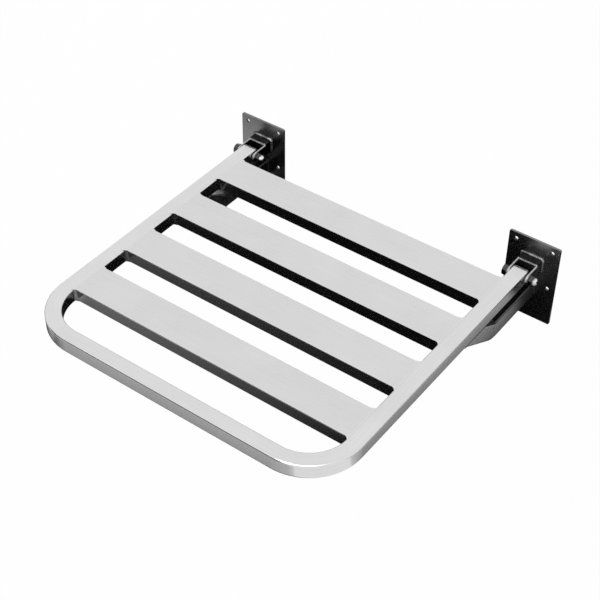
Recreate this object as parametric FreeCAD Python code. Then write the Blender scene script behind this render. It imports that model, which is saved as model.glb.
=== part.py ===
import FreeCAD, Part
import math
import os

os.makedirs("parts", exist_ok=True)

# Fold down wall seat. Lengths are in millimetres.
# The wall is the plane y = 0, the seat stands out from it towards -Y, and +Z is up.
# The origin is the centre of the rectangle that the outer wall holes make.

# Seat frame: one square tube, bent to a U
seat_width = 434.0
seat_reach = 450.0
seat_top = 13.0
tube = 20.0
tube_wall = 1.5
tube_edge_radius = 2.5
bend_radius = 60.0

# Slats: flat tubes between the rails, flush with the top of the frame
slat_count = 4
slat_width = 50.0
slat_height = 18.0
slat_wall = 1.2
slat_edge_radius = 1.5
slat_corner_fillet = 7.0
back_gap = 58.5
front_slat_to_bend = 1.5

# Wall plates and their holes
plate_width = 70.0
plate_height = 120.0
plate_thickness = 3.0
plate_corner_radius = 2.0
hole_spacing_x = 50.0
hole_spacing_z = 56.0
hole_radius = 2.75
hole_to_top_edge = 9.0

# Hinge brackets: a stub of flat tube, with two of its walls left long as ears
pivot_out = 31.5
bracket_width = 28.0
bracket_wall = 2.5
bracket_edge_radius = 2.5
bracket_bridge = 13.0
weld_leg = 3.0

# Rail ends: a rounded block plugged into each rail
rail_end_shoulder = 12.0
rail_end_spigot = 18.0

# Support arms under the rails
arm_height = 24.0
arm_slot = 14.0
arm_reach = 170.0
arm_angle = 30.0
arm_bend_radius = 14.0
arm_pad_thickness = 3.0
arm_pad_spigot = 10.0

# Pivot hardware
bolt_radius = 4.0
bolt_head_flats = 13.0
bolt_head_height = 5.3
bolt_head_crown_radius = 7.3
bolt_head_chamfer = 0.65
nut_flats = 13.0
nut_hex_height = 5.0
nut_height = 9.5
nut_dome_radius = 6.2
bolt_end_in_nut = 6.8
washer_radius = 7.5
washer_thickness = 1.6
thrust_washer_radius = 7.0
bush_radius = 6.0

# Clearances
running_clearance = 0.05
hole_clearance = 0.2
seat_clearance = 0.02
side_clearance = 0.2
stop_clearance = 0.1
spigot_clearance = 0.1
lip_edge = 0.1

# Places worked out from the sizes above
V = FreeCAD.Vector
plate_face = -plate_thickness
seat_bottom = seat_top - tube
seat_front = plate_face - seat_reach
rail_x = (seat_width - tube) / 2
rail_inner_x = seat_width / 2 - tube
pivot_y = plate_face - pivot_out
pivot_z = seat_top - tube / 2
ear_radius = tube / 2 - bracket_edge_radius
rail_tube_back = pivot_y - rail_end_shoulder
frame_outer_bend = bend_radius + tube / 2
frame_inner_bend = bend_radius - tube / 2
first_slat_back = plate_face - back_gap
front_gap = frame_inner_bend + front_slat_to_bend
slat_field = seat_reach - tube - back_gap - front_gap
slat_pitch = (slat_field - slat_width) / (slat_count - 1)
arm_top = seat_bottom - arm_slot
arm_bottom = arm_top - arm_height
arm_end = plate_face - stop_clearance
thrust_washer_thickness = (bracket_width - tube) / 2 - bracket_wall - 2 * side_clearance
cut_margin = 1.0


def block(x0, x1, y0, y1, z0, z1):
    """Box between two corners."""
    return Part.makeBox(x1 - x0, y1 - y0, z1 - z0, V(x0, y0, z0))


def edges_along(shape, direction):
    """Straight edges of a shape that run along a direction."""
    found = []
    for edge in shape.Edges:
        if edge.Curve.TypeId != "Part::GeomLine":
            continue
        if edge.tangentAt(edge.FirstParameter).cross(direction).Length < 1e-6:
            found.append(edge)
    return found


def rounded_block(x0, x1, y0, y1, z0, z1, direction, radius):
    """Box whose four edges along one direction are rounded."""
    shape = block(x0, x1, y0, y1, z0, z1)
    return shape.makeFillet(radius, edges_along(shape, direction))


def disc(x0, x1, radius):
    """Cylinder along X on the pivot line."""
    return Part.makeCylinder(radius, x1 - x0, V(x0, pivot_y, pivot_z), V(1, 0, 0))


def ring(x0, x1, outer, inner):
    """Washer or sleeve along X on the pivot line."""
    return disc(x0, x1, outer).cut(disc(x0 - cut_margin, x1 + cut_margin, inner))


def hexagon(x0, x1, flats):
    """Hexagonal prism along X on the pivot line, measured over its flats."""
    corner = flats / math.sqrt(3)
    points = []
    for i in range(7):
        turn = math.radians(60 * i + 30)
        points.append(V(x0, pivot_y + corner * math.cos(turn), pivot_z + corner * math.sin(turn)))
    return Part.Face(Part.makePolygon(points)).extrude(V(x1 - x0, 0, 0))


def u_face(half_width, front, bend, back, z):
    """Flat U-shaped plate with its two front corners rounded."""
    mid = bend * (1 - math.sqrt(0.5))
    left, right = -half_width, half_width
    path = [
        Part.LineSegment(V(left, back, z), V(left, front + bend, z)),
        Part.Arc(V(left, front + bend, z), V(left + mid, front + mid, z), V(left + bend, front, z)),
        Part.LineSegment(V(left + bend, front, z), V(right - bend, front, z)),
        Part.Arc(V(right - bend, front, z), V(right - mid, front + mid, z), V(right, front + bend, z)),
        Part.LineSegment(V(right, front + bend, z), V(right, back, z)),
        Part.LineSegment(V(right, back, z), V(left, back, z)),
    ]
    return Part.Face(Part.Wire([piece.toShape() for piece in path]))


def frame_bar(inset, back):
    """Bent square bar of the seat frame, smaller all round by an inset."""
    low = seat_bottom + inset
    outer = u_face(seat_width / 2 - inset, seat_front + inset, frame_outer_bend - inset, back, low)
    inner = u_face(
        rail_inner_x + inset,
        seat_front + tube - inset,
        frame_inner_bend + inset,
        back + cut_margin,
        low,
    )
    bar = outer.cut(inner).extrude(V(0, 0, tube - 2 * inset))
    long_edges = []
    for edge in bar.Edges:
        span = edge.BoundBox
        on_end = span.YMin > back - 1e-3
        if span.ZLength < 1e-6 and not on_end:
            long_edges.append(edge)
    return bar.makeFillet(tube_edge_radius - inset, long_edges)


def seat_frame(envelope):
    """Hollow frame tube, open at its two rear ends."""
    return envelope.cut(frame_bar(tube_wall, rail_tube_back + cut_margin))


def weld_outline(number, z):
    """Plan of the weld at the right end of a slat, with a concave fillet at each long face."""
    back = first_slat_back - slat_pitch * (number - 1)
    front = back - slat_width
    reach = math.sqrt((tube_edge_radius + seat_clearance) ** 2 - (tube_edge_radius - lip_edge) ** 2)
    x_end = rail_inner_x + tube_edge_radius - reach
    r = slat_corner_fillet
    bow = r * (1 - math.sqrt(0.5))
    path = [
        Part.Arc(V(x_end, back + r, z), V(x_end - bow, back + bow, z), V(x_end - r, back, z)),
        Part.LineSegment(V(x_end - r, back, z), V(x_end - r, front, z)),
        Part.Arc(V(x_end - r, front, z), V(x_end - bow, front - bow, z), V(x_end, front - r, z)),
        Part.LineSegment(V(x_end, front - r, z), V(x_end, back + r, z)),
    ]
    return Part.Face(Part.Wire([piece.toShape() for piece in path]))


def slat_bar(number, inset, end):
    """Rounded flat bar of one slat, smaller all round by an inset."""
    back = first_slat_back - slat_pitch * (number - 1) - inset
    front = back - slat_width + 2 * inset
    low = seat_top - slat_height + inset
    high = seat_top - inset
    return rounded_block(-end, end, front, back, low, high, V(1, 0, 0), slat_edge_radius - inset)


def slat(number, envelope):
    """Flat tube between the rails, flush with their top."""
    end = rail_inner_x - seat_clearance
    hollow = slat_bar(number, slat_wall, end + cut_margin)
    return slat_bar(number, 0, end).cut(hollow).cut(envelope)


def slat_welds(side, envelope):
    """Welds at one end of every slat, ground flush on top and to fillets at the corners."""
    rail_room = rounded_block(
        rail_inner_x - seat_clearance,
        seat_width / 2 + seat_clearance,
        seat_front,
        rail_tube_back,
        seat_bottom - seat_clearance,
        seat_top + seat_clearance,
        V(0, 1, 0),
        tube_edge_radius + seat_clearance,
    )
    beads = []
    for number in range(1, slat_count + 1):
        bead = weld_outline(number, seat_top - slat_height).extrude(V(0, 0, slat_height))
        bead = bead.cut(slat_bar(number, 0, rail_inner_x - seat_clearance))
        bead = bead.cut(rail_room).cut(envelope).removeSplitter()
        beads.append(bead if side > 0 else bead.mirror(V(0, 0, 0), V(1, 0, 0)))
    return Part.makeCompound([solid for bead in beads for solid in bead.Solids])


def wall_plate(side):
    """Plate with four plain holes; its lower part takes the push of the support arm."""
    centre = side * rail_x
    top = hole_spacing_z / 2 + hole_to_top_edge
    shape = rounded_block(
        centre - plate_width / 2,
        centre + plate_width / 2,
        plate_face,
        0,
        top - plate_height,
        top,
        V(0, 1, 0),
        plate_corner_radius,
    )
    for x_side in (-1, 1):
        for z_side in (-1, 1):
            place = V(centre + x_side * hole_spacing_x / 2, cut_margin, z_side * hole_spacing_z / 2)
            depth = plate_thickness + 2 * cut_margin
            shape = shape.cut(Part.makeCylinder(hole_radius, depth, place, V(0, -1, 0)))
    return shape


def bracket_bar(centre, front, back):
    """Solid length of the flat tube that the brackets are cut from."""
    return rounded_block(
        centre - bracket_width / 2,
        centre + bracket_width / 2,
        front,
        back,
        seat_bottom,
        seat_top,
        V(0, 1, 0),
        bracket_edge_radius,
    )


def hinge_bracket(side):
    """Stub of tube on the plate, with two ears rounded about the pivot."""
    centre = side * rail_x
    half = bracket_width / 2
    inner = half - bracket_wall
    bridge_front = plate_face - bracket_bridge
    inside = block(
        centre - inner,
        centre + inner,
        bridge_front - cut_margin,
        plate_face,
        seat_bottom + bracket_wall,
        seat_top - bracket_wall,
    )
    shape = bracket_bar(centre, bridge_front, plate_face).cut(inside)
    ear_low = pivot_z - ear_radius
    ear_high = pivot_z + ear_radius
    for x0, x1 in ((centre - half, centre - inner), (centre + inner, centre + half)):
        strip = block(x0, x1, pivot_y, bridge_front, ear_low, ear_high)
        shape = shape.fuse(strip).fuse(disc(x0, x1, ear_radius))
    hole = disc(centre - half - cut_margin, centre + half + cut_margin, bolt_radius + hole_clearance)
    return shape.cut(hole).removeSplitter()


def bracket_weld(side):
    """Fillet weld round the foot of a bracket."""
    centre = side * rail_x
    reach = bracket_width / 2 + weld_leg
    tip = plate_face - weld_leg
    bead = rounded_block(
        centre - reach,
        centre + reach,
        tip,
        plate_face,
        seat_bottom - weld_leg,
        seat_top + weld_leg,
        V(0, 1, 0),
        bracket_edge_radius + weld_leg,
    )
    front_edges = [edge for edge in bead.Edges if edge.BoundBox.YMax < tip + seat_clearance]
    bead = bead.makeChamfer(weld_leg - seat_clearance, front_edges)
    return bead.cut(bracket_bar(centre, tip - cut_margin, plate_face + cut_margin))


def pivot_bolt(side):
    """Hexagon bolt through the ears; its head faces -X on both brackets."""
    ear = side * rail_x - bracket_width / 2 - washer_thickness
    end = side * rail_x + bracket_width / 2 + washer_thickness + bolt_end_in_nut
    head = hexagon(ear - bolt_head_height, ear, bolt_head_flats)
    crown = disc(ear - bolt_head_height, ear, bolt_head_crown_radius)
    outer_rims = [edge for edge in crown.Edges if edge.BoundBox.XMax < ear - bolt_head_height / 2]
    crown = crown.makeChamfer(bolt_head_chamfer, outer_rims)
    return head.common(crown).fuse(disc(ear, end, bolt_radius)).removeSplitter()


def dome_nut(side):
    """Domed nut on the bolt's end."""
    seat = side * rail_x + bracket_width / 2 + washer_thickness
    hexed = hexagon(seat, seat + nut_hex_height, nut_flats)
    shoulder = seat + nut_height - nut_dome_radius
    collar = disc(seat, shoulder, nut_dome_radius)
    cap = Part.makeSphere(nut_dome_radius, V(shoulder, pivot_y, pivot_z))
    ahead = disc(shoulder, seat + nut_height + cut_margin, nut_dome_radius + cut_margin)
    body = hexed.fuse(collar).fuse(cap.common(ahead))
    bore = disc(seat - cut_margin, seat + bolt_end_in_nut + seat_clearance, bolt_radius + seat_clearance)
    return body.cut(bore).removeSplitter()


def head_washer(side):
    """Plain washer under the bolt head."""
    ear = side * rail_x - bracket_width / 2
    return ring(ear - washer_thickness, ear, washer_radius, bolt_radius + hole_clearance)


def nut_washer(side):
    """Plain washer under the dome nut."""
    ear = side * rail_x + bracket_width / 2
    return ring(ear, ear + washer_thickness, washer_radius, bolt_radius + hole_clearance)


def thrust_washer(side, hand):
    """Plastic washer between an ear and the rail end."""
    near = side * rail_x + hand * (tube / 2 + side_clearance)
    far = near + hand * thrust_washer_thickness
    return ring(min(near, far), max(near, far), thrust_washer_radius, bolt_radius + hole_clearance)


def rail_end(side):
    """Block in the end of a rail, rounded about the pivot and bored for the bush."""
    centre = side * rail_x
    half = tube / 2
    head = block(centre - half, centre + half, rail_tube_back, pivot_y, seat_bottom, seat_top)
    head = head.fuse(disc(centre - half, centre + half, half)).removeSplitter()
    outline = []
    for edge in head.Edges:
        span = edge.BoundBox
        if span.XLength < 1e-6 and span.YMax > rail_tube_back + 1e-3:
            outline.append(edge)
    head = head.makeFillet(tube_edge_radius, outline)
    inset = tube_wall + spigot_clearance
    spigot = rounded_block(
        centre - half + inset,
        centre + half - inset,
        rail_tube_back - rail_end_spigot,
        rail_tube_back + cut_margin,
        seat_bottom + inset,
        seat_top - inset,
        V(0, 1, 0),
        tube_edge_radius - tube_wall,
    )
    bore = disc(centre - half - cut_margin, centre + half + cut_margin, bush_radius + seat_clearance)
    return head.fuse(spigot).cut(bore).removeSplitter()


def pivot_bush(side):
    """Plain bearing sleeve in a rail end."""
    centre = side * rail_x
    return ring(centre - tube / 2, centre + tube / 2, bush_radius, bolt_radius + running_clearance)


def arm_bar(side, inset, back):
    """Bar of a support arm, level at the back and rising to the rail, smaller all round by an inset."""
    slope = math.radians(arm_angle)
    half_turn = math.tan(slope / 2)
    low = arm_bottom + inset
    high = arm_top - inset
    upper_bend = arm_bend_radius + inset
    lower_bend = arm_bend_radius + arm_height - inset
    knee = plate_face - arm_reach + (seat_bottom - arm_bottom) / math.tan(slope)
    knee_low = knee + inset * half_turn
    knee_high = knee + (arm_height - inset) * half_turn
    roof = seat_bottom if inset == 0 else seat_bottom + cut_margin

    def on_slope(foot, level, distance):
        return V(0, foot - distance * math.cos(slope), level + distance * math.sin(slope))

    def on_roof(foot, level):
        return on_slope(foot, level, (roof - level) / math.sin(slope))

    def bend(foot, level, radius):
        start = V(0, foot + radius * half_turn, level)
        end = on_slope(foot, level, radius * half_turn)
        lean = slope / 2
        middle = V(0, start.y - radius * math.sin(lean), level + radius * (1 - math.cos(lean)))
        return start, middle, end

    low_bend = bend(knee_low, low, lower_bend)
    high_bend = bend(knee_high, high, upper_bend)
    corners_front = [low_bend[2], on_roof(knee_low, low), on_roof(knee_high, high), high_bend[2]]
    corners_back = [high_bend[0], V(0, back, high), V(0, back, low), low_bend[0]]
    pieces = [Part.Arc(*low_bend).toShape()]
    pieces += [Part.makeLine(a, b) for a, b in zip(corners_front, corners_front[1:])]
    pieces += [Part.Arc(*reversed(high_bend)).toShape()]
    pieces += [Part.makeLine(a, b) for a, b in zip(corners_back, corners_back[1:])]
    width = tube - 2 * inset
    bar = Part.Face(Part.Wire(pieces)).extrude(V(width, 0, 0))
    bar.translate(V(side * rail_x - width / 2, 0, 0))
    long_edges = []
    for edge in bar.Edges:
        span = edge.BoundBox
        on_back = span.YMin > back - 1e-3
        on_roof_plane = span.ZMin > roof - 1e-3
        if span.XLength < 1e-6 and not on_back and not on_roof_plane:
            long_edges.append(edge)
    return bar.makeFillet(tube_edge_radius - inset, long_edges)


def support_arm(side):
    """Hollow arm under a rail; its rear end stands against the wall plate."""
    back = arm_end - arm_pad_thickness
    return arm_bar(side, 0, back).cut(arm_bar(side, tube_wall, back + cut_margin))


def arm_pad(side):
    """Plug in the arm's rear end that bears on the wall plate."""
    centre = side * rail_x
    back = arm_end - arm_pad_thickness
    half = tube / 2
    face = rounded_block(
        centre - half,
        centre + half,
        back,
        arm_end,
        arm_bottom,
        arm_top,
        V(0, 1, 0),
        tube_edge_radius,
    )
    inset = tube_wall + spigot_clearance
    spigot = rounded_block(
        centre - half + inset,
        centre + half - inset,
        back - arm_pad_spigot,
        back + cut_margin,
        arm_bottom + inset,
        arm_top - inset,
        V(0, 1, 0),
        tube_edge_radius - tube_wall,
    )
    return face.fuse(spigot).removeSplitter()


def save(name, shape):
    """Write one sub-part and say how large it is."""
    shape.exportStep("parts/" + name + ".step")
    count = len(shape.Solids)
    print(name, "solids", count, "valid", shape.isValid(), "volume", round(shape.Volume, 1))


frame_envelope = frame_bar(0, rail_tube_back)
save("seat_frame", seat_frame(frame_envelope))
for number in range(1, slat_count + 1):
    save("slat_" + str(number), slat(number, frame_envelope))
for name, side in (("left", -1), ("right", 1)):
    save("slat_welds_" + name, slat_welds(side, frame_envelope))
    save("wall_plate_" + name, wall_plate(side))
    save("hinge_bracket_" + name, hinge_bracket(side))
    save("bracket_weld_" + name, bracket_weld(side))
    save("pivot_bolt_" + name, pivot_bolt(side))
    save("dome_nut_" + name, dome_nut(side))
    save("head_washer_" + name, head_washer(side))
    save("nut_washer_" + name, nut_washer(side))
    save("thrust_washer_inner_" + name, thrust_washer(side, -side))
    save("thrust_washer_outer_" + name, thrust_washer(side, side))
    save("rail_end_" + name, rail_end(side))
    save("pivot_bush_" + name, pivot_bush(side))
    save("support_arm_" + name, support_arm(side))
    save("arm_pad_" + name, arm_pad(side))
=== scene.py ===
import math

import bmesh
import bpy
from mathutils import Matrix, Vector


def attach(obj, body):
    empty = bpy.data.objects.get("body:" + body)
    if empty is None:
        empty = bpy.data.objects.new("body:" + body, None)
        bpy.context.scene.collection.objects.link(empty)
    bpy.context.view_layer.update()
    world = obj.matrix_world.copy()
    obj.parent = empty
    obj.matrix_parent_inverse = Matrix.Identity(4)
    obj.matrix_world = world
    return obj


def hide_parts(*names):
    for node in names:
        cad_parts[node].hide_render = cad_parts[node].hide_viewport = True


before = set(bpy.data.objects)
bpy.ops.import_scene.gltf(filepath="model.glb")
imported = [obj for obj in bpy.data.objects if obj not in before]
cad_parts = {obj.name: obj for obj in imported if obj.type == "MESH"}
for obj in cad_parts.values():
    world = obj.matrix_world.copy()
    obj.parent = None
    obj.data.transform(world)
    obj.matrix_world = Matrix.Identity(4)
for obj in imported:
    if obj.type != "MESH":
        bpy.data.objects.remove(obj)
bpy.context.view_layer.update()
scene = bpy.context.scene
scene.view_settings.view_transform = "Standard"


# Camera, at the photograph's place

CAMERA_PLACE = Vector((0.7406, -1.2169, 1.1053))
CAMERA_YAW = math.radians(36.02)
CAMERA_DOWN = math.radians(42.08)
CAMERA_ROLL = math.radians(0.54)
CAMERA_SENSOR = 36.0
CAMERA_LENS = 83.48
CAMERA_SHIFT_X = -0.0008
CAMERA_SHIFT_Y = 0.0008
CAMERA_REACH = 100.0


def add_object(name, data):
    """Object in the scene from its mesh, lamp or camera."""
    added = bpy.data.objects.new(name, data)
    scene.collection.objects.link(added)
    return added


def add_camera():
    """Camera with the photograph's viewing angle and framing."""
    forward = Vector((
        -math.sin(CAMERA_YAW) * math.cos(CAMERA_DOWN),
        math.cos(CAMERA_YAW) * math.cos(CAMERA_DOWN),
        -math.sin(CAMERA_DOWN),
    ))
    level = Vector((math.cos(CAMERA_YAW), math.sin(CAMERA_YAW), 0))
    upright = level.cross(forward)
    right = math.cos(CAMERA_ROLL) * level + math.sin(CAMERA_ROLL) * upright
    up = -math.sin(CAMERA_ROLL) * level + math.cos(CAMERA_ROLL) * upright
    data = bpy.data.cameras.new("camera")
    data.sensor_width = CAMERA_SENSOR
    data.lens = CAMERA_LENS
    data.shift_x = CAMERA_SHIFT_X
    data.shift_y = CAMERA_SHIFT_Y
    data.clip_end = CAMERA_REACH
    camera = add_object("camera", data)
    turn = Matrix((right, up, -forward)).transposed().to_4x4()
    camera.matrix_world = Matrix.Translation(CAMERA_PLACE) @ turn
    scene.camera = camera


# Node helpers

def new_material(name):
    """Empty material with its output node."""
    material = bpy.data.materials.new(name)
    material.use_nodes = True
    material.node_tree.nodes.clear()
    output = material.node_tree.nodes.new("ShaderNodeOutputMaterial")
    return material, material.node_tree, output


def put(tree, kind, **values):
    """Add a node, set its properties and its unlinked sockets."""
    node = tree.nodes.new(kind)
    for key, value in values.items():
        if hasattr(node, key):
            setattr(node, key, value)
        else:
            node.inputs[key].default_value = value
    return node


def principled(name, **values):
    """Material with one principled shader."""
    material, tree, output = new_material(name)
    shader = put(tree, "ShaderNodeBsdfPrincipled", **values)
    tree.links.new(shader.outputs[0], output.inputs["Surface"])
    return material, tree, shader


def mix_shaders(tree, factor, first, second, output):
    """Send a mix of two shaders to an output."""
    mix = tree.nodes.new("ShaderNodeMixShader")
    tree.links.new(factor, mix.inputs[0])
    tree.links.new(first.outputs[0], mix.inputs[1])
    tree.links.new(second.outputs[0], mix.inputs[2])
    tree.links.new(mix.outputs[0], output.inputs["Surface"])


def maths(tree, operation, a, b=None, clamp=False):
    """Maths node on sockets or numbers; returns its output."""
    node = tree.nodes.new("ShaderNodeMath")
    node.operation = operation
    node.use_clamp = clamp
    for socket, value in zip(node.inputs, (a, b)):
        if value is None:
            continue
        if isinstance(value, (int, float)):
            socket.default_value = value
        else:
            tree.links.new(value, socket)
    return node.outputs[0]


def plus(tree, a, b):
    """Sum of two values."""
    return maths(tree, "ADD", a, b)


def minus(tree, a, b):
    """The first value less the second."""
    return maths(tree, "SUBTRACT", a, b)


def times(tree, a, b):
    """Product of two values."""
    return maths(tree, "MULTIPLY", a, b)


def larger(tree, a, b):
    """The larger of two values."""
    return maths(tree, "MAXIMUM", a, b)


def above(tree, value, limit):
    """1 where a value is over a limit, else 0."""
    return maths(tree, "GREATER_THAN", value, limit)


def below(tree, value, limit):
    """1 where a value is under a limit, else 0."""
    return maths(tree, "LESS_THAN", value, limit)


def size_of(tree, value):
    """A value without its sign."""
    return maths(tree, "ABSOLUTE", value)


def rise(tree, value, start, length):
    """0 until a value passes a start, then up to 1 over a length; a negative length runs the other way."""
    return maths(tree, "MULTIPLY", minus(tree, value, start), 1 / length, clamp=True)


def distance(tree, a, b):
    """Length of a flat vector from its two parts."""
    return maths(tree, "SQRT", plus(tree, times(tree, a, a), times(tree, b, b)))


def spread_about(tree, value, middle, spread):
    """A value from 0 to 1, scaled to a spread about a middle."""
    return plus(tree, times(tree, value, spread), middle - spread / 2)


def ramp(tree, factor, low, high):
    """Colour ramp between two stops, each a place and a grey or a colour."""
    node = tree.nodes.new("ShaderNodeValToRGB")
    tree.links.new(factor, node.inputs["Fac"])
    for element, (stop, colour) in zip(node.color_ramp.elements, (low, high)):
        element.position = stop
        if isinstance(colour, (int, float)):
            colour = (colour, colour, colour)
        element.color = (*colour, 1.0)
    return node.outputs["Color"]


def blend(tree, factor, a, b):
    """Mix of two colours, given as sockets or greys."""
    node = put(tree, "ShaderNodeMix", data_type="RGBA")
    tree.links.new(factor, node.inputs[0])
    for key, value in (("A", a), ("B", b)):
        socket = next(s for s in node.inputs if s.name == key and s.type == "RGBA")
        if isinstance(value, (int, float)):
            socket.default_value = (value, value, value, 1.0)
        else:
            tree.links.new(value, socket)
    return next(s for s in node.outputs if s.type == "RGBA")


def combine(tree, x, y, z):
    """Vector from three sockets."""
    node = tree.nodes.new("ShaderNodeCombineXYZ")
    for socket, value in zip(node.inputs, (x, y, z)):
        tree.links.new(value, socket)
    return node.outputs[0]


def split(tree, vector):
    """The three parts of a vector."""
    node = tree.nodes.new("ShaderNodeSeparateXYZ")
    tree.links.new(vector, node.inputs[0])
    return node.outputs


def object_place(tree):
    """Position in the object's own axes, in metres."""
    return tree.nodes.new("ShaderNodeTexCoord").outputs["Object"]


def position(tree):
    """Position in the object's own axes, split into its three coordinates, in metres."""
    return split(tree, object_place(tree))


def facing(tree):
    """Surface normal in the object's own axes, split into its three coordinates."""
    return split(tree, tree.nodes.new("ShaderNodeTexCoord").outputs["Normal"])


def noise(tree, vector, scale, detail, roughness):
    """Noise value at a vector."""
    node = put(tree, "ShaderNodeTexNoise", Scale=scale, Detail=detail, Roughness=roughness)
    tree.links.new(vector, node.inputs["Vector"])
    return node.outputs["Fac"]


def roughen(tree, shader, grain, strength, depth):
    """Bump a shader by a grain."""
    bump = put(tree, "ShaderNodeBump", Strength=strength, Distance=depth)
    tree.links.new(grain, bump.inputs["Height"])
    tree.links.new(bump.outputs[0], shader.inputs["Normal"])


# Stage, light and world. Places and lengths are in metres. A fade is a start and a length, as for rise.

WHITE = (1, 1, 1, 1)

FLOOR_LEVEL = -0.45
FLOOR_REACH = 6
FLOOR_GREY = 0.92
FLOOR_WHITE_SHARE = 0.985

WORLD_LIGHT = 0.65

TABLE_LEVEL = -0.10
TABLE_OUTLINE = [
    (-1.6, -1.8), (0.19, -1.8), (0.19, -0.36), (1.6, -0.36),
    (1.6, 1.4), (-0.275, 1.4), (-0.275, -0.17), (-1.6, -0.17),
]
TABLE_DARK = 0.012
TABLE_LIGHT = 0.90

# The table's light surround begins past the seat's right side and front, and is lighter to the right.
SURROUND_RIGHT = 0.235
SURROUND_FRONT = -0.47
SURROUND_WIDTH = 0.06
SURROUND_REAR_FADE = (0.050, -0.02)
SURROUND_SHADE = 0.64
SURROUND_RIGHT_FADE = (0.10, 0.15)
SURROUND_RIGHT_GAIN = 0.20

# The table's light corners: fade along x, fade along y, shade.
LIGHT_CORNERS = {
    "front_left": ((-0.255, -0.06), (-0.40, -0.06), 1.0),
    "rear_left": ((-0.245, -0.03), (-0.19, 0.03), 1.0),
    "grey_front_left": ((0.14, -0.34), (-0.30, -0.20), 0.24),
    "front_cut_side": ((0.10, 0.09), (-0.48, -0.05), 1.0),
    "front_cut_end": ((0.20, 0.04), (-0.28, -0.08), 1.0),
}

STRIP_Y = -1.3
STRIP_LEFT = -2.4
STRIP_RIGHT = 0.1
STRIP_LOW = -0.1
STRIP_HIGH = 0.5
STRIP_GREY = 0.02

KEY_PLACE = (0.7, -1.8, 2.0)
KEY_AIM = (0, -0.2, 0)
KEY_SIZE = 2.2
KEY_POWER = 24.0


def flat_object(name, corners):
    """Flat object from its corners in order."""
    mesh = bpy.data.meshes.new(name)
    mesh.from_pydata(corners, [], [tuple(range(len(corners)))])
    return add_object(name, mesh)


def sees_background(tree):
    """1 for rays that show the background: from the camera, a mirror or glass."""
    path = tree.nodes.new("ShaderNodeLightPath")
    seen = larger(tree, path.outputs["Is Camera Ray"], path.outputs["Is Glossy Ray"])
    return larger(tree, seen, path.outputs["Is Transmission Ray"])


def add_floor():
    """White floor that keeps a little of the seat's shadow."""
    r = FLOOR_REACH
    corners = [(-r, -r), (r, -r), (r, r), (-r, r)]
    floor = flat_object("floor", [(x, y, FLOOR_LEVEL) for x, y in corners])
    material, tree, output = new_material("floor_white")
    plain = put(tree, "ShaderNodeBsdfDiffuse", Color=(FLOOR_GREY, FLOOR_GREY, FLOOR_GREY, 1))
    white = put(tree, "ShaderNodeEmission", Color=WHITE, Strength=1.0)
    mix_shaders(tree, times(tree, sees_background(tree), FLOOR_WHITE_SHARE), plain, white, output)
    floor.data.materials.append(material)


def add_world():
    """Plain white surroundings, that light the seat less than they show."""
    world = bpy.data.worlds.new("studio")
    world.use_nodes = True
    tree = world.node_tree
    tree.nodes.clear()
    output = tree.nodes.new("ShaderNodeOutputWorld")
    light = put(tree, "ShaderNodeBackground", Color=WHITE, Strength=WORLD_LIGHT)
    seen = put(tree, "ShaderNodeBackground", Color=WHITE, Strength=1.0)
    mix_shaders(tree, sees_background(tree), light, seen, output)
    scene.world = world


def add_card(name, corners, shade):
    """Card that only the steel mirrors: the camera looks past it and it throws no shadow."""
    card = flat_object(name, corners)
    card.visible_camera = False
    card.visible_shadow = False
    material, tree, output = new_material(name + "_paint")
    plain = tree.nodes.new("ShaderNodeBsdfDiffuse")
    if callable(shade):
        tree.links.new(shade(tree), plain.inputs["Color"])
    else:
        plain.inputs["Color"].default_value = (shade, shade, shade, 1.0)
    tree.links.new(plain.outputs[0], output.inputs["Surface"])
    card.data.materials.append(material)
    return card


def table_shade(tree):
    """Dark under the seat, greyer to the front left, light past its front and right and at the corners."""
    x, y, _ = position(tree)
    beside = larger(tree, minus(tree, x, SURROUND_RIGHT), 0.0)
    beside = times(tree, beside, rise(tree, y, *SURROUND_REAR_FADE))
    before = larger(tree, minus(tree, SURROUND_FRONT, y), 0.0)
    gain = times(tree, rise(tree, x, *SURROUND_RIGHT_FADE), SURROUND_RIGHT_GAIN)
    surround = rise(tree, distance(tree, beside, before), 0.0, SURROUND_WIDTH)
    light = times(tree, surround, plus(tree, SURROUND_SHADE, gain))
    for fade_x, fade_y, shade in LIGHT_CORNERS.values():
        corner = times(tree, rise(tree, x, *fade_x), rise(tree, y, *fade_y))
        light = larger(tree, light, times(tree, corner, shade))
    return ramp(tree, light, (0.0, TABLE_DARK), (1.0, TABLE_LIGHT))


def add_cards():
    """Dark table under the seat, cut away at two corners, and a dark strip at the horizon."""
    add_card("table", [(x, y, TABLE_LEVEL) for x, y in TABLE_OUTLINE], table_shade)
    low = [(STRIP_LEFT, STRIP_Y, STRIP_LOW), (STRIP_RIGHT, STRIP_Y, STRIP_LOW)]
    high = [(STRIP_RIGHT, STRIP_Y, STRIP_HIGH), (STRIP_LEFT, STRIP_Y, STRIP_HIGH)]
    strip = add_card("strip", low + high, STRIP_GREY)
    strip.visible_diffuse = False


def add_key():
    """One large soft lamp."""
    data = bpy.data.lights.new("key", "AREA")
    data.shape = "SQUARE"
    data.size = KEY_SIZE
    data.energy = KEY_POWER
    lamp = add_object("key", data)
    lamp.location = KEY_PLACE
    lamp.rotation_euler = (Vector(KEY_AIM) - Vector(KEY_PLACE)).to_track_quat("-Z", "Y").to_euler()


# Sizes of the CAD pieces that the materials and the beads follow, in metres

PLATE_FACE = -0.003
BRACKET_X = 0.207
BRACKET_HALF = 0.014
BRACKET_LOW = -0.007
BRACKET_HIGH = 0.013
BRACKET_EDGE = 0.0025
BRACKET_FRONT = -0.016
BEND_CENTRE_X = 0.147
BEND_CENTRE_Y = -0.383


# Materials. A noise is its scale, detail and roughness. Fades along a place are in metres; those of a
# normal or of a noise have no unit.

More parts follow.
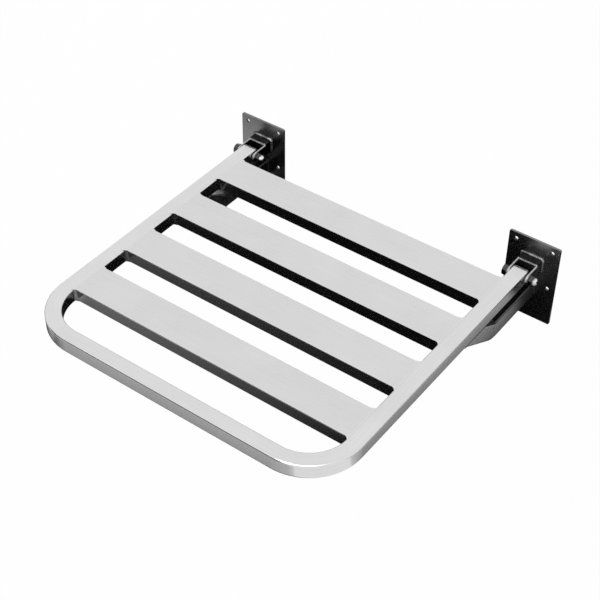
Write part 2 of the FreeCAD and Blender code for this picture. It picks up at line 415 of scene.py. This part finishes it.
STREAK_STRETCH = 0.02
STREAK_DETAIL = 4.0
STREAK_ROUGHNESS = 0.6
STREAK_SHARE = 0.6
PATCH_NOISE = (22.0, 3.0, 0.5)
PATCH_SHARE = 0.4
RAMP_LOW = 0.3
RAMP_HIGH = 0.7
ROUGH_SPREAD = 0.2
SIDE_ROUGH_SPREAD = 0.1
LEVEL_NORMAL = 0.8
STEEL_BUMP = 0.02
STEEL_BUMP_DEPTH = 0.0004
FINE_BUMP_DEPTH = 0.0003
# Dark grey that the masks blend in, for soot and for painted shade and painted reflection
DIRT_AND_SHADE_GREY = 0.06

# Painted shade on the arms: towards the wall, and on their upward faces under the rail.
ARM_WALL_FADE = (-0.085, 0.055)
ARM_WALL_SHADE = 0.85
ARM_UPWARD_FADE = (0.15, 0.2)
ARM_SLOT_SHADE = 0.95

# The plates' holes lie inside these limits, the plates' rims outside.
HOLES_HALF = 0.0335
HOLES_LOW = -0.08
HOLES_HIGH = 0.035
HOLE_WALL_NORMAL = 0.5
# Strength of the painted shade on the holes' walls
HOLE_SHADE = 0.9

# Fasteners: painted dark reflection on the flats, painted shade on the lower half of the domes.
DOME_START = 0.0205
DOME_FADE = 0.0025
DOME_UPPER_FADE = (0.001, 0.003)
DOME_LOWER_LIT = 0.3
DOME_UPPER_GAIN = 0.7
FASTENER_PAINTED_DARK = 0.97

SOOT_NOISE = (170.0, 2.0, 0.5)
SOOT_PATCH_FADE = (0.47, 0.10)
SOOT_PATCH_DIRT = 0.7
# The beads are darker towards the bottom
BEAD_LOW_FADE = (0.011, -0.006)
BEAD_LOW_DARKENING = 0.85

BRACKET_NOISE = (260.0, 4.0, 0.6)
BRACKET_DULL = ((0.35, (0.03, 0.03, 0.031)), (0.7, (0.09, 0.09, 0.092)))
# Colour of the painted highlight on the brackets' front edges and upper rims
BRACKET_HIGHLIGHT = ((0.3, 0.42), (0.7, 0.66))
BRACKET_BUMP = 0.05
RIM_DEPTH = 0.0008
RIM_HIGH_FADE = (0.001, 0.006)
RIM_FRONT_NORMAL = -0.5
HIGHLIGHT_METAL_LOSS = 0.75
RIM_ROUGHNESS = 0.2
BRACKET_ROUGHNESS = 0.4
EAR_INNER = 0.0119

MOULD_NOISE = (1800.0, 3.0, 0.6)
MOULD_DARK = 0.92
MOULD_ROUGH_SPREAD = 0.15
MOULD_BUMP = 0.1


def grain_vector(tree, kind):
    """Coordinates stretched along the direction in which a piece was brushed."""
    x, y, z = position(tree)
    if kind == "slat":
        return combine(tree, times(tree, x, STREAK_STRETCH), y, z)
    side = larger(tree, minus(tree, size_of(tree, x), BEND_CENTRE_X), 0.0)
    ahead = larger(tree, minus(tree, BEND_CENTRE_Y, y), 0.0)
    along = minus(tree, x, y)
    return combine(tree, times(tree, along, STREAK_STRETCH), distance(tree, side, ahead), z)


def steel(name, kind, base, rough, spread=0.04, grain=900.0, side_rough=None, dirt_and_painted_shade=None):
    """Brushed or polished steel: streaks, soft patches, fine scratches, and, where a mask is given, a dark
    grey blended in: soot and a darker lower part on the beads, painted shade on the arms and in the
    plates' holes, painted dark reflection on the fasteners.

    The spread is that of the grey, the grain is the streaks' scale, and the rough and the side_rough
    are the roughness of level faces and of all others; without a side_rough every face is alike.
    """
    material, tree, shader = principled(name, Metallic=1.0)
    streaks = noise(tree, grain_vector(tree, kind), grain, STREAK_DETAIL, STREAK_ROUGHNESS)
    patches = noise(tree, object_place(tree), *PATCH_NOISE)
    mixed = plus(tree, times(tree, streaks, STREAK_SHARE), times(tree, patches, PATCH_SHARE))
    dark = tuple(max(0.0, c - spread) for c in base)
    light = tuple(min(1.0, c + spread) for c in base)
    colour = ramp(tree, mixed, (RAMP_LOW, dark), (RAMP_HIGH, light))
    if dirt_and_painted_shade:
        # The mask blends in dark grey: soot on the beads, painted shade and painted reflection elsewhere.
        colour = blend(tree, dirt_and_painted_shade(tree), colour, DIRT_AND_SHADE_GREY)
    if side_rough is None:
        roughness = spread_about(tree, mixed, rough, ROUGH_SPREAD)
    else:
        level = above(tree, size_of(tree, facing(tree)[2]), LEVEL_NORMAL)
        side = spread_about(tree, mixed, side_rough, SIDE_ROUGH_SPREAD)
        roughness = plus(tree, side, times(tree, level, rough - side_rough))
    tree.links.new(colour, shader.inputs["Base Color"])
    tree.links.new(roughness, shader.inputs["Roughness"])
    roughen(tree, shader, streaks, STEEL_BUMP, STEEL_BUMP_DEPTH)
    return material


def from_bracket_middle(tree, x):
    """Sideways distance from the middle of the nearer bracket."""
    return size_of(tree, minus(tree, size_of(tree, x), BRACKET_X))


def arm_painted_shade(tree):
    """Painted shade on the arms towards the wall, and on their upward faces all along the slot under the
    rail.
    """
    near_wall = times(tree, rise(tree, position(tree)[1], *ARM_WALL_FADE), ARM_WALL_SHADE)
    slot = times(tree, rise(tree, facing(tree)[2], *ARM_UPWARD_FADE), ARM_SLOT_SHADE)
    return larger(tree, near_wall, slot)


def hole_painted_shade(tree):
    """Painted shade on the walls of the drilled holes."""
    x, _, z = position(tree)
    inside = below(tree, from_bracket_middle(tree, x), HOLES_HALF)
    tall = times(tree, above(tree, z, HOLES_LOW), below(tree, z, HOLES_HIGH))
    wall = below(tree, size_of(tree, facing(tree)[1]), HOLE_WALL_NORMAL)
    return times(tree, times(tree, times(tree, inside, tall), wall), HOLE_SHADE)


def fastener_painted_reflection(tree):
    """Painted dark reflection on the flats of nuts, heads and washers, and painted shade on the lower half
    of a nut's dome; only the upper half of the dome keeps the bright steel colour.
    """
    x, _, z = position(tree)
    past = minus(tree, size_of(tree, x), BRACKET_X)
    right = above(tree, x, 0.0)
    dome_right = times(tree, right, rise(tree, past, DOME_START, DOME_FADE))
    left = minus(tree, 1.0, right)
    dome_left = times(tree, left, rise(tree, past, -DOME_START, -DOME_FADE))
    upper = times(tree, rise(tree, z, *DOME_UPPER_FADE), DOME_UPPER_GAIN)
    lit_share = times(tree, plus(tree, dome_right, dome_left), plus(tree, upper, DOME_LOWER_LIT))
    return times(tree, minus(tree, 1.0, lit_share), FASTENER_PAINTED_DARK)


def foot_soot_and_low_dark(tree):
    """Soot on the beads round the brackets' feet, in patches; and the beads darker towards the bottom, all
    over their lower part.
    """
    cloud = noise(tree, object_place(tree), *SOOT_NOISE)
    patch = times(tree, rise(tree, cloud, *SOOT_PATCH_FADE), SOOT_PATCH_DIRT)
    low = times(tree, rise(tree, position(tree)[2], *BEAD_LOW_FADE), BEAD_LOW_DARKENING)
    return larger(tree, patch, low)


def bracket_steel():
    """Dark polished steel with a painted highlight on its front edges and on the upper part of its ear
    rims.
    """
    material, tree, shader = principled("bracket_steel")
    x, y, z = position(tree)
    normal = facing(tree)
    # Painted highlight: the front edges and the upper part of the ear rims get a bright, less metallic
    # colour.
    in_ear = above(tree, from_bracket_middle(tree, x), EAR_INNER)
    not_side = below(tree, size_of(tree, normal[0]), LEVEL_NORMAL)
    ahead = below(tree, normal[1], RIM_FRONT_NORMAL)
    rim = larger(tree, times(tree, in_ear, not_side), ahead)
    past_front = below(tree, y, BRACKET_FRONT + RIM_DEPTH)
    highlight_mask = times(tree, times(tree, rim, past_front), rise(tree, z, *RIM_HIGH_FADE))
    patches = noise(tree, object_place(tree), *BRACKET_NOISE)
    dull = ramp(tree, patches, *BRACKET_DULL)
    bright = ramp(tree, patches, *BRACKET_HIGHLIGHT)
    metallic = minus(tree, 1.0, times(tree, highlight_mask, HIGHLIGHT_METAL_LOSS))
    uneven = times(tree, patches, BRACKET_ROUGHNESS)
    roughness = plus(tree, times(tree, highlight_mask, RIM_ROUGHNESS), uneven)
    tree.links.new(blend(tree, highlight_mask, dull, bright), shader.inputs["Base Color"])
    tree.links.new(metallic, shader.inputs["Metallic"])
    tree.links.new(roughness, shader.inputs["Roughness"])
    roughen(tree, shader, patches, BRACKET_BUMP, FINE_BUMP_DEPTH)
    return material


def plastic(name, base, rough):
    """Plain moulded plastic or rubber with a fine grain."""
    material, tree, shader = principled(name)
    grain = noise(tree, object_place(tree), *MOULD_NOISE)
    dark = tuple(c * MOULD_DARK for c in base)
    colour = ramp(tree, grain, (RAMP_LOW, dark), (RAMP_HIGH, base))
    roughness = plus(tree, times(tree, grain, MOULD_ROUGH_SPREAD), rough)
    tree.links.new(colour, shader.inputs["Base Color"])
    tree.links.new(roughness, shader.inputs["Roughness"])
    roughen(tree, shader, grain, MOULD_BUMP, FINE_BUMP_DEPTH)
    return material


def dress(prefixes, material):
    """Give a material to every CAD node whose name starts so."""
    for name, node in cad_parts.items():
        if name.startswith(prefixes):
            node.data.materials.clear()
            node.data.materials.append(material)


# Weld beads, in metres. A crease is the share of a bead's size that is lost between two scales.

BEAD_LEG = 0.0029
BEAD_STEP = 0.0003
BEAD_ARC_STEPS = 6
BEAD_CREASE = 0.30
BEAD_GAP = 0.00002

ARM_JOINT_BACK = -0.1262
ARM_JOINT_FRONT = -0.1725
ARM_JOINT_HALF = 0.0086
ARM_JOINT_EDGE = 0.002
ARM_BEAD_RADIUS = 0.0016
ARM_BEAD_STEP = 0.0004
ARM_BEAD_SIDES = 8
ARM_BEAD_CREASE = 0.14
ARM_BEAD_SINK = 0.0004

CORNER_STEPS = 4
RIPPLE = 0.0032
RIPPLE_BOW = 0.35
RIPPLE_DRIFT = 0.12
RIPPLE_DRIFT_RATE = 40
RIPPLE_UNEVEN = 0.25
RIPPLE_UNEVEN_WAVES = 7
RIPPLE_SHARPNESS = 0.6


def rounded_loop(half_a, half_b, radius, step):
    """Points and outward directions round a rounded rectangle, with the run so far, and the whole run."""
    loop = []
    run = 0.0
    corners = [(1, 1, 0), (-1, 1, 90), (-1, -1, 180), (1, -1, 270)]
    sides = [2 * (half_a - radius), 2 * (half_b - radius)]
    quarter = radius * math.radians(90)
    for index, (sa, sb, turn) in enumerate(corners):
        centre = Vector((sa * (half_a - radius), sb * (half_b - radius)))
        for i in range(CORNER_STEPS + 1):
            angle = math.radians(turn + 90 * i / CORNER_STEPS)
            out = Vector((math.cos(angle), math.sin(angle)))
            loop.append((centre + out * radius, out, run + quarter * i / CORNER_STEPS))
        run += quarter
        length = sides[index % 2]
        count = max(2, round(length / step))
        out = Vector((math.cos(math.radians(turn + 90)), math.sin(math.radians(turn + 90))))
        along = Vector((-out.y, out.x))
        start = centre + out * radius
        for i in range(1, count):
            loop.append((start + along * length * i / count, out, run + length * i / count))
        run += length
    return loop, run


def ripple(run, total, lean):
    """Height of a weld bead's scales, 0 in a crease to 1 on a crown."""
    part = run / total
    drift = RIPPLE_DRIFT * math.sin(part * RIPPLE_DRIFT_RATE)
    phase = part * round(total / RIPPLE) + RIPPLE_BOW * lean + drift
    wave = math.sin(part * 2 * math.pi * RIPPLE_UNEVEN_WAVES)
    crown = 1 - RIPPLE_UNEVEN + RIPPLE_UNEVEN * wave
    return crown * abs(math.sin(math.pi * phase)) ** RIPPLE_SHARPNESS


def swell(crease, run, total, lean):
    """Size of a rippled bead as a share of its full size."""
    return 1 - crease * (1 - ripple(run, total, lean))


def close_rings(builder, rings):
    """Skin a closed loop of rings."""
    for a, b in zip(rings, rings[1:] + rings[:1]):
        for i in range(len(a)):
            j = (i + 1) % len(a)
            builder.faces.new((a[i], a[j], b[j], b[i]))


def finish_mesh(builder, name):
    """Object from a mesh in the making, smooth, with its normals outward."""
    bmesh.ops.recalc_face_normals(builder, faces=builder.faces)
    mesh = bpy.data.meshes.new(name)
    builder.to_mesh(mesh)
    builder.free()
    mesh.shade_smooth()
    return add_object(name, mesh)


def foot_bead(name, side):
    """Rippled fillet weld round a bracket's foot."""
    half_z = (BRACKET_HIGH - BRACKET_LOW) / 2
    middle_z = (BRACKET_HIGH + BRACKET_LOW) / 2
    loop, total = rounded_loop(BRACKET_HALF, half_z, BRACKET_EDGE, BEAD_STEP)
    builder = bmesh.new()
    rings = []
    for spot, out, run in loop:
        section = [(BEAD_GAP, BEAD_GAP)]
        for i in range(BEAD_ARC_STEPS + 1):
            t = i / BEAD_ARC_STEPS
            angle = math.radians(90 * t)
            size = BEAD_LEG * swell(BEAD_CREASE, run, total, math.sin(math.pi * t))
            section.append((size * math.cos(angle) + BEAD_GAP, size * math.sin(angle) + BEAD_GAP))
        ring = []
        for u, v in section:
            flat = spot + out * u
            corner = (side * BRACKET_X + flat.x, PLATE_FACE - v, middle_z + flat.y)
            ring.append(builder.verts.new(corner))
        rings.append(ring)
    close_rings(builder, rings)
    return finish_mesh(builder, name)


def arm_bead(name, side):
    """Weld between a support arm and the underside of its rail."""
    half_y = (ARM_JOINT_BACK - ARM_JOINT_FRONT) / 2
    middle_y = (ARM_JOINT_BACK + ARM_JOINT_FRONT) / 2
    loop, total = rounded_loop(ARM_JOINT_HALF, half_y, ARM_JOINT_EDGE, ARM_BEAD_STEP)
    builder = bmesh.new()
    rings = []
    for spot, out, run in loop:
        ring = []
        for i in range(ARM_BEAD_SIDES):
            angle = math.radians(360 * i / ARM_BEAD_SIDES)
            lean = math.cos(angle)
            size = ARM_BEAD_RADIUS * swell(ARM_BEAD_CREASE, run, total, lean)
            flat = spot + out * (size * lean)
            height = BRACKET_LOW - ARM_BEAD_SINK + size * math.sin(angle)
            corner = (side * BRACKET_X + flat.x, middle_y + flat.y, height)
            ring.append(builder.verts.new(corner))
        rings.append(ring)
    close_rings(builder, rings)
    return finish_mesh(builder, name)


add_camera()
add_world()
add_floor()
add_cards()
add_key()

frame_steel = steel("frame_steel", "frame", base=(0.70, 0.70, 0.70), rough=0.24, side_rough=0.16)
slat_steel = steel(
    "slat_steel", "slat", base=(0.67, 0.67, 0.67), rough=0.28, spread=0.03, side_rough=0.14
)
# The arms' base colour is darker than the frame's, as painted shade under the rails.
arm_steel = steel("arm_steel", "frame", base=(0.60, 0.60, 0.60), rough=0.28, dirt_and_painted_shade=arm_painted_shade)
# The plates' base colour is set dark as a painted dark reflection of their polished steel.
plate_steel = steel(
    "plate_steel", "frame", base=(0.22, 0.22, 0.225), rough=0.28, grain=500.0, dirt_and_painted_shade=hole_painted_shade
)
fastener_steel = steel(
    "fastener_steel", "frame", base=(0.80, 0.80, 0.81), rough=0.16,
    spread=0.03, grain=700.0, dirt_and_painted_shade=fastener_painted_reflection,
)
weld_steel = steel(
    "weld_steel", "frame", base=(0.36, 0.36, 0.37), rough=0.32,
    spread=0.20, grain=260.0, dirt_and_painted_shade=foot_soot_and_low_dark,
)
nylon = plastic("nylon", base=(0.06, 0.06, 0.065), rough=0.4)
black_plastic = plastic("black_plastic", base=(0.03, 0.03, 0.03), rough=0.35)

dress(("seat_frame", "slat_welds", "rail_end"), frame_steel)
dress(("slat_1", "slat_2", "slat_3", "slat_4"), slat_steel)
dress(("support_arm",), arm_steel)
dress(("wall_plate",), plate_steel)
dress(("hinge_bracket",), bracket_steel())
dress(("pivot_bolt", "dome_nut", "head_washer", "nut_washer"), fastener_steel)
dress(("thrust_washer", "pivot_bush"), nylon)
dress(("arm_pad",), black_plastic)

for hand, side in (("left", -1), ("right", 1)):
    bead = foot_bead("foot_bead_" + hand, side)
    bead.data.materials.append(weld_steel)
    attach(bead, "wall_mount")
    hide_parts("bracket_weld_" + hand)
    joint = arm_bead("arm_bead_" + hand, side)
    joint.data.materials.append(arm_steel)
    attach(joint, "seat")
